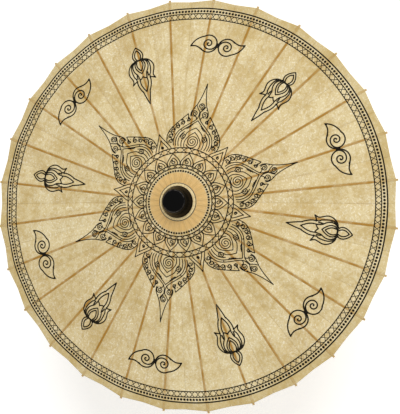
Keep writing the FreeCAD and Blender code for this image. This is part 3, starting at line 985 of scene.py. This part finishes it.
def ink_attributes(piece, points, drawn_count):
    """How far each point is from the ink, and how strongly ink shows: full on the upper face
    and faint on the lower one."""
    mesh = piece.data
    places = points[:, :2] / RIM_RADIUS
    distance = np.full(len(points), INK_REACH)
    distance[:drawn_count] = distance_to_ink(places[:drawn_count, 0], places[:drawn_count, 1])
    strength = np.full(len(points), 0.25)
    strength[:drawn_count] = 1.0
    for name, values in (("ink_distance", distance), ("ink_strength", strength)):
        layer = mesh.attributes.new(name, "FLOAT", "POINT")
        layer.data.foreach_set("value", values.astype(np.float32))


def glued_strip(sizes, index):
    """The strip of paper that is glued along one rib and turns with it."""
    rows = sheet_rows(sizes)[:, None]
    edge = strip_edge(sizes, rows)
    share = np.linspace(-1.0, 1.0, 5) * edge
    upper = paper_points(sizes, rows, np.abs(share), rib_angle(index), np.sign(share))
    drop = np.full(share.shape, sizes.paper_thickness)
    return sheet_piece(f"paper_strip_{index + 1:02d}", upper, drop, RIBS[index])


def half_panel(sizes, index, side):
    """Half of the panel beside a rib. It turns with the rib."""
    rows = sheet_rows(sizes)[:, None]
    edge = strip_edge(sizes, rows)
    share = np.linspace(0.0, 1.0, sizes.columns)
    if side < 0:
        share = share[::-1]
    share = edge + (1.0 - edge) * share
    azimuth = rib_angle(index)
    upper = paper_points(sizes, rows, share, azimuth, side)
    hem = np.clip(1.0 - (RIM_RADIUS - rows) / sizes.hem_width, 0.0, 1.0)
    bead = np.sqrt(np.clip(4.0 * hem * (1.0 - hem) + 0.25 * (hem > 0), 0.0, 1.0))
    free = np.clip((share - edge) / (1.0 - edge) * 8.0, 0.0, 1.0)
    drop = sizes.paper_thickness + sizes.hem_depth * bead * free
    hand = "left" if side > 0 else "right"
    piece = sheet_piece(f"paper_panel_{index + 1:02d}_{hand}", upper, drop, RIBS[index])
    pleat(piece, sizes, azimuth, side)
    return piece


def folded_radius(level):
    """Distance from the axis, when folded, of a place on the paper over a rib."""
    fold = SLOPE + math.radians(JOINTS["rib_01_fold"]["range_deg"][1])
    reach = (level - PIVOT_RADIUS) / math.cos(SLOPE)
    lift = (PAPER_TOP - PIVOT_RADIUS * math.tan(SLOPE) - PIVOT_HEIGHT) * math.cos(SLOPE)
    return PIVOT_RADIUS + reach * math.cos(fold) + lift * math.sin(fold)


def pleat(piece, sizes, azimuth, side):
    """Works out the lean that would flatten the half panel as the runner slides, and gives the
    piece its own mesh; the mesh is not changed. The axis leans by the angle b from the panel's
    width towards the outside. A width w then keeps (1 - k) sin(b)^2 + k of itself and goes w sin(b)
    cos(b) inwards, where there is less room, and the paper's depth leans sideways by sin(b). So
    sin(b) is the root of
    a square equation: what the half panel and its depth take up at the rim is the room between the
    strip and the plane half way to the next rib, less a gap."""
    keep, gap = 0.02, 0.30 * MILLIMETRE
    sideways = math.tan(HALF_PITCH)
    width = RIM_RADIUS * math.sin(HALF_PITCH) - sizes.strip_half_width
    depth = sizes.sag_share * RIM_RADIUS + sizes.hem_depth + sizes.paper_thickness
    room = folded_radius(RIM_RADIUS) * sideways - sizes.strip_half_width - gap
    square, linear = (1.0 - keep) * width, (1.0 - keep) * (width * sideways + depth)
    rest = keep * width + depth * sideways - room
    lean = math.asin((math.sqrt(linear**2 - 4.0 * square * rest) - linear) / (2.0 * square))
    width_way = side * Vector((-math.sin(azimuth), math.cos(azimuth), 0.0))
    outward = Vector((math.cos(azimuth), math.sin(azimuth), 0.0))
    anchor = outward * RIM_RADIUS + width_way * sizes.strip_half_width
    anchor.z = PAPER_TOP - RIM_RADIUS * math.tan(SLOPE)
    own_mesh(piece)


def crown_sheet(sizes):
    """The paper that stays on the head, under the cap and its ring: a low cone."""
    return turned_ring(
        "paper_crown", PAPER_HOLE, sizes.paper_start, PAPER_TOP - sizes.paper_thickness,
        sizes.paper_thickness, 0.2 * sizes.paper_thickness, "layered_paper")


# ---- operators ----
class BuildOperator:
    """What every building operator shares: it runs make() with the sizes."""
    bl_options = {"REGISTER", "UNDO"}

    def execute(self, context):
        self.make(context.scene.umbrella_sizes)
        return {"FINISHED"}


class UMBRELLA_OT_canopy(BuildOperator, bpy.types.Operator):
    """Lay the paper: a glued strip on each rib, two half panels beside it, and the crown"""
    bl_idname = "umbrella.canopy"
    bl_label = "Paper canopy"

    def make(self, sizes):
        crown = crown_sheet(sizes)
        for index in range(COUNT):
            strip = glued_strip(sizes, index)
            for side in (1.0, -1.0):
                half_panel(sizes, index, side)
        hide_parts("canopy")


class UMBRELLA_OT_ribs(BuildOperator, bpy.types.Operator):
    """Round the edges of the ribs and give them bamboo's fibres"""
    bl_idname = "umbrella.ribs"
    bl_label = "Ribs"

    def make(self, sizes):
        for name in RIBS:
            softened(name, "bamboo_" + name, "rib_bamboo", sizes)


class UMBRELLA_OT_stretchers(BuildOperator, bpy.types.Operator):
    """Round the edges of the stretchers and give them bamboo's fibres"""
    bl_idname = "umbrella.stretchers"
    bl_label = "Stretchers"

    def make(self, sizes):
        for name in STRETCHERS:
            softened(name, "bamboo_" + name, "stretcher_bamboo", sizes)


class UMBRELLA_OT_runner(BuildOperator, bpy.types.Operator):
    """Turn the runner and round its teeth"""
    bl_idname = "umbrella.runner"
    bl_label = "Runner"

    def make(self, sizes):
        softened("runner", "turned_runner", "turned_wood", sizes)


class UMBRELLA_OT_catch(BuildOperator, bpy.types.Operator):
    """Fit the spring catch"""
    bl_idname = "umbrella.catch"
    bl_label = "Catch"

    def make(self, sizes):
        softened("catch", "sprung_catch", "spring_steel", sizes)


def in_box(low_z, high_z, radius):
    """Picks the solid whose height and greatest distance from the axis are about these."""
    def keep(low, high):
        return (
            abs(low[2] - low_z) < 0.002 and abs(high[2] - high_z) < 0.004
            and abs(high[0] - radius) < 0.002)
    return keep


class UMBRELLA_OT_shaft(BuildOperator, bpy.types.Operator):
    """Turn the shaft, the handle and the head, and fit the wire ring and the stop pin"""
    bl_idname = "umbrella.shaft"
    bl_label = "Shaft, handle and head"

    def make(self, sizes):
        shaft = cad_copy(
            "shaft_rod", ROOT, "shaft_wood", ROOT, sizes.edge_round,
            keep=lambda low, high: high[2] - low[2] > 0.5)
        head = cad_copy(
            "slotted_head", ROOT, "turned_wood", ROOT, sizes.edge_round,
            keep=in_box(PIVOT_HEIGHT - 0.014, PIVOT_HEIGHT + 0.0065, 0.028))
        wire = wire_circle("hinge_wire", PIVOT_HEIGHT, "spring_steel", ROOT)
        for piece, slot in (
                (shaft, "turned_wood"), (head, "turned_wood"), (wire, "spring_steel")):
            stands_for(piece, ROOT)
        self.stop_pin()
        self.handle()

    def stop_pin(self):
        """A steel pin across the shaft above the runner, with softened ends."""
        height = RUNNER_TOP + 2 * MILLIMETRE
        half, radius, end, sides = 0.0135, 0.0015, 0.0004, 24
        y = np.array([-half, -half + end, half - end, half])
        angle = np.arange(sides) * (2 * math.pi / sides)
        scale = np.array([radius - end, radius, radius, radius - end])
        points = np.stack([
            scale[:, None] * np.sin(angle), np.repeat(y[:, None], sides, 1),
            height + scale[:, None] * np.cos(angle)], axis=-1).reshape(-1, 3)
        quads = grid_corners(4, sides, closed_columns=True)[:, ::-1]
        ring = np.arange(sides)
        corners = np.concatenate([quads.ravel(), ring[::-1], 3 * sides + ring])
        sizes = [4] * len(quads) + [sides, sides]
        pin = piece_from_arrays("stop_pin", points, corners, sizes, "spring_steel", ROOT)
        sharp_by_angle(pin)
        stands_for(pin, ROOT)

    def handle(self):
        """A swelling grip with two turned beads near its top."""
        top = HANDLE_TOP
        grip = rounded([
            (0.0, 0.0), (0.0105, 0.0), (0.0132, 0.0050), (0.0134, 0.0130), (0.0114, 0.0270),
            (0.0109, 0.0600), (0.0125, top - 0.0300), (0.0125, top - 0.0240),
            (0.0112, top - 0.0225), (0.0112, top - 0.0200), (0.0125, top - 0.0185),
            (0.0125, top - 0.0120), (0.0112, top - 0.0105), (0.0112, top - 0.0080),
            (0.0120, top - 0.0070), (0.0096, top), (0.0, top)], 0.006, 7)
        piece = lathed("turned_handle", grip, "handle_wood")
        stands_for(piece, ROOT)


class UMBRELLA_OT_cap(BuildOperator, bpy.types.Operator):
    """Turn the lacquered cap and lay the pale ring under it"""
    bl_idname = "umbrella.cap"
    bl_label = "Cap and ring"

    def make(self, sizes):
        foot = CAP_TOP - CAP_HEIGHT
        profile = rounded([
            (0.0, foot + 0.004), (0.029, foot + 0.0006), (0.031, foot + 0.0004),
            (0.0312, foot + 0.0032),
            (0.0298, foot + 0.0062), (0.0268, foot + 0.0150), (0.0240, foot + 0.0215),
            (0.0226, CAP_TOP - 0.0012), (0.0150, CAP_TOP - 0.0002), (0.0, CAP_TOP)], 0.0042, 9)
        cap = lathed("lacquered_cap", profile, "black_lacquer", segments=144, sharp=60.0)
        stands_for(cap, ROOT)
        ring = turned_ring(
            "pale_ring", PAPER_HOLE, RING_RADIUS, PAPER_TOP + 0.0003, 0.0008, 0.0003,
            "layered_paper")
        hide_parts(ROOT)


class UMBRELLA_OT_threads(BuildOperator, bpy.types.Operator):
    """Tie each stretcher to its rib, and thread the runner's flange"""
    bl_idname = "umbrella.threads"
    bl_label = "Threads"

    def make(self, sizes):
        ring = wire_circle("runner_thread", RUNNER_HEIGHT, "cotton_thread", "runner")
        for index in range(COUNT):
            tie = tube(
                f"thread_tie_{index + 1:02d}", tie_path(index), 0.00035, "cotton_thread",
                RIBS[index], sides=6)


def tie_path(index):
    """Thread wound five times round a rib beside its joint: a flat-sided helix, written along
    the rib (s), across it (t) and up from it (h), then laid on the rib's slope."""
    turns, step = 5.0, 0.0009
    angle = np.linspace(0.0, 2.0 * math.pi * turns, 120)
    wide, deep = 0.0030, 0.0040
    power = 0.35
    t = wide * np.sign(np.cos(angle)) * np.abs(np.cos(angle)) ** power
    h = deep * np.sign(np.sin(angle)) * np.abs(np.sin(angle)) ** power
    reach = (TIE_RADIUS - PIVOT_RADIUS) / math.cos(SLOPE) + 0.040
    s = reach + step * angle / (2.0 * math.pi)
    radius = PIVOT_RADIUS + s * math.cos(SLOPE) + h * math.sin(SLOPE)
    height = PIVOT_HEIGHT - s * math.sin(SLOPE) + h * math.cos(SLOPE)
    azimuth = rib_angle(index)
    x = radius * math.cos(azimuth) - t * math.sin(azimuth)
    y = radius * math.sin(azimuth) + t * math.cos(azimuth)
    return np.stack([x, y, height], axis=1)


class UMBRELLA_OT_stage(bpy.types.Operator):
    """Set the pale floor, the soft lights and the camera"""
    bl_idname = "umbrella.stage"
    bl_label = "Stage"
    bl_options = {"REGISTER", "UNDO"}

    def execute(self, context):
        stage = context.scene.umbrella_stage
        self.floor(stage)
        self.camera(context, stage)
        self.lights(context, stage)
        return {"FINISHED"}

    def floor(self, stage):
        """A wide disc under the handle, clear from beneath so that the underside can be seen."""
        reach, sides = 60.0, 96
        turn = np.arange(sides) * (2.0 * math.pi / sides)
        height = np.full(sides, stage.floor)
        points = np.stack([reach * np.cos(turn), reach * np.sin(turn), height], axis=1)
        mesh = bpy.data.meshes.new("pale_floor")
        mesh.from_pydata(points.tolist(), [], [tuple(range(sides))])
        finish = Finish(
            "pale_floor", Roughness=0.9, Specular_IOR_Level=0.1,
            Emission_Color=(1.0, 1.0, 1.0, 1.0), Emission_Strength=stage.floor_glow)
        vector, _ = finish.place()
        tone = finish.noise(vector, 3.0, 2.0)
        light = tuple(stage.floor_colour)
        colour = finish.mix(tone * 0.3, light, tuple(0.97 * part for part in light))
        finish.feed(finish.shader.inputs["Base Color"], colour)
        mesh.materials.append(finish.material)
        beneath = finish.node("ShaderNodeNewGeometry").outputs["Backfacing"]
        clear = finish.node("ShaderNodeBsdfTransparent").outputs[0]
        both = finish.node(
            "ShaderNodeMixShader", None, {0: beneath, 1: finish.shader.outputs[0], 2: clear})
        finish.feed(finish.tree.nodes["Material Output"].inputs[0], both.outputs[0])
        floor = bpy.data.objects.new("pale_floor", mesh)
        bpy.context.scene.collection.objects.link(floor)

    def camera(self, context, stage):
        centre = Vector((0.0, 0.0, PAPER_TOP - RIM_RADIUS * math.tan(SLOPE)))
        lean = Vector((math.cos(stage.bearing), math.sin(stage.bearing), 0.0))
        sight = Vector((0, 0, 1)) * math.cos(stage.tilt) + lean * math.sin(stage.tilt)
        upward = Vector((math.cos(stage.roll), math.sin(stage.roll), 0.0))
        right = upward.cross(sight).normalized()
        up = sight.cross(right).normalized()
        place = centre + sight * stage.distance + right * stage.aside - up * stage.below
        data = bpy.data.cameras.new("camera")
        data.sensor_fit = "HORIZONTAL"
        data.sensor_width = 36.0
        data.lens = stage.lens
        data.clip_end = 60.0
        camera = bpy.data.objects.new("camera", data)
        rows = Matrix((right, up, sight)).transposed().to_4x4()
        camera.matrix_world = Matrix.Translation(place) @ rows
        context.scene.collection.objects.link(camera)
        context.scene.camera = camera

    def lights(self, context, stage):
        world = context.scene.world or bpy.data.worlds.new("even_light")
        context.scene.world = world
        world.use_nodes = True
        sky = world.node_tree.nodes["Background"]
        sky.inputs["Color"].default_value = (1.0, 0.99, 0.97, 1.0)
        sky.inputs["Strength"].default_value = stage.sky_strength
        context.scene.view_settings.view_transform = "Standard"
        key = bpy.data.lights.new("key_light", "SUN")
        key.energy = stage.key_strength
        key.angle = math.radians(24.0)
        self.hang(context, key, (1.0, -0.15, 2.0))
        glint = bpy.data.lights.new("glint_light", "AREA")
        glint.shape = "RECTANGLE"
        glint.size = 3.6
        glint.size_y = 0.5
        glint.energy = stage.glint_power
        self.hang(context, glint, (1.0, -1.3, 1.7))

    def hang(self, context, data, place):
        """Hangs a lamp at the place, aimed at the ribs' pivots."""
        light = bpy.data.objects.new(data.name, data)
        light.location = place
        aim = Vector((0.0, 0.0, PIVOT_HEIGHT)) - Vector(place)
        light.rotation_euler = aim.to_track_quat("-Z", "Y").to_euler()
        context.scene.collection.objects.link(light)


class UMBRELLA_PT_panel(bpy.types.Panel):
    """Lists the pieces, their sizes and their colours"""
    bl_idname = "UMBRELLA_PT_panel"
    bl_label = "Oil paper umbrella"
    bl_space_type = "VIEW_3D"
    bl_region_type = "UI"
    bl_category = "Umbrella"

    def draw(self, context):
        for operator in OPERATORS:
            self.layout.operator(operator.bl_idname)
        for group in ("umbrella_sizes", "umbrella_colours", "umbrella_stage"):
            box = self.layout.box()
            settings = getattr(context.scene, group)
            for name in settings.__annotations__:
                box.prop(settings, name)


OPERATORS = [
    UMBRELLA_OT_stage,
    UMBRELLA_OT_canopy,
    UMBRELLA_OT_ribs,
    UMBRELLA_OT_stretchers,
    UMBRELLA_OT_runner,
    UMBRELLA_OT_catch,
    UMBRELLA_OT_shaft,
    UMBRELLA_OT_cap,
    UMBRELLA_OT_threads,
]
GROUPS = {
    "umbrella_sizes": UmbrellaSizes,
    "umbrella_colours": UmbrellaColours,
    "umbrella_stage": UmbrellaStage,
}


def register():
    for kind in list(GROUPS.values()) + OPERATORS + [UMBRELLA_PT_panel]:
        bpy.utils.register_class(kind)
    for name, kind in GROUPS.items():
        setattr(bpy.types.Scene, name, PointerProperty(type=kind))


def unregister():
    for name in GROUPS:
        delattr(bpy.types.Scene, name)
    for kind in [UMBRELLA_PT_panel] + OPERATORS[::-1] + list(GROUPS.values())[::-1]:
        bpy.utils.unregister_class(kind)


def main():
    register()
    for operator in OPERATORS:
        group, name = operator.bl_idname.split(".")
        getattr(getattr(bpy.ops, group), name)()


if __name__ == "__main__":
    main()
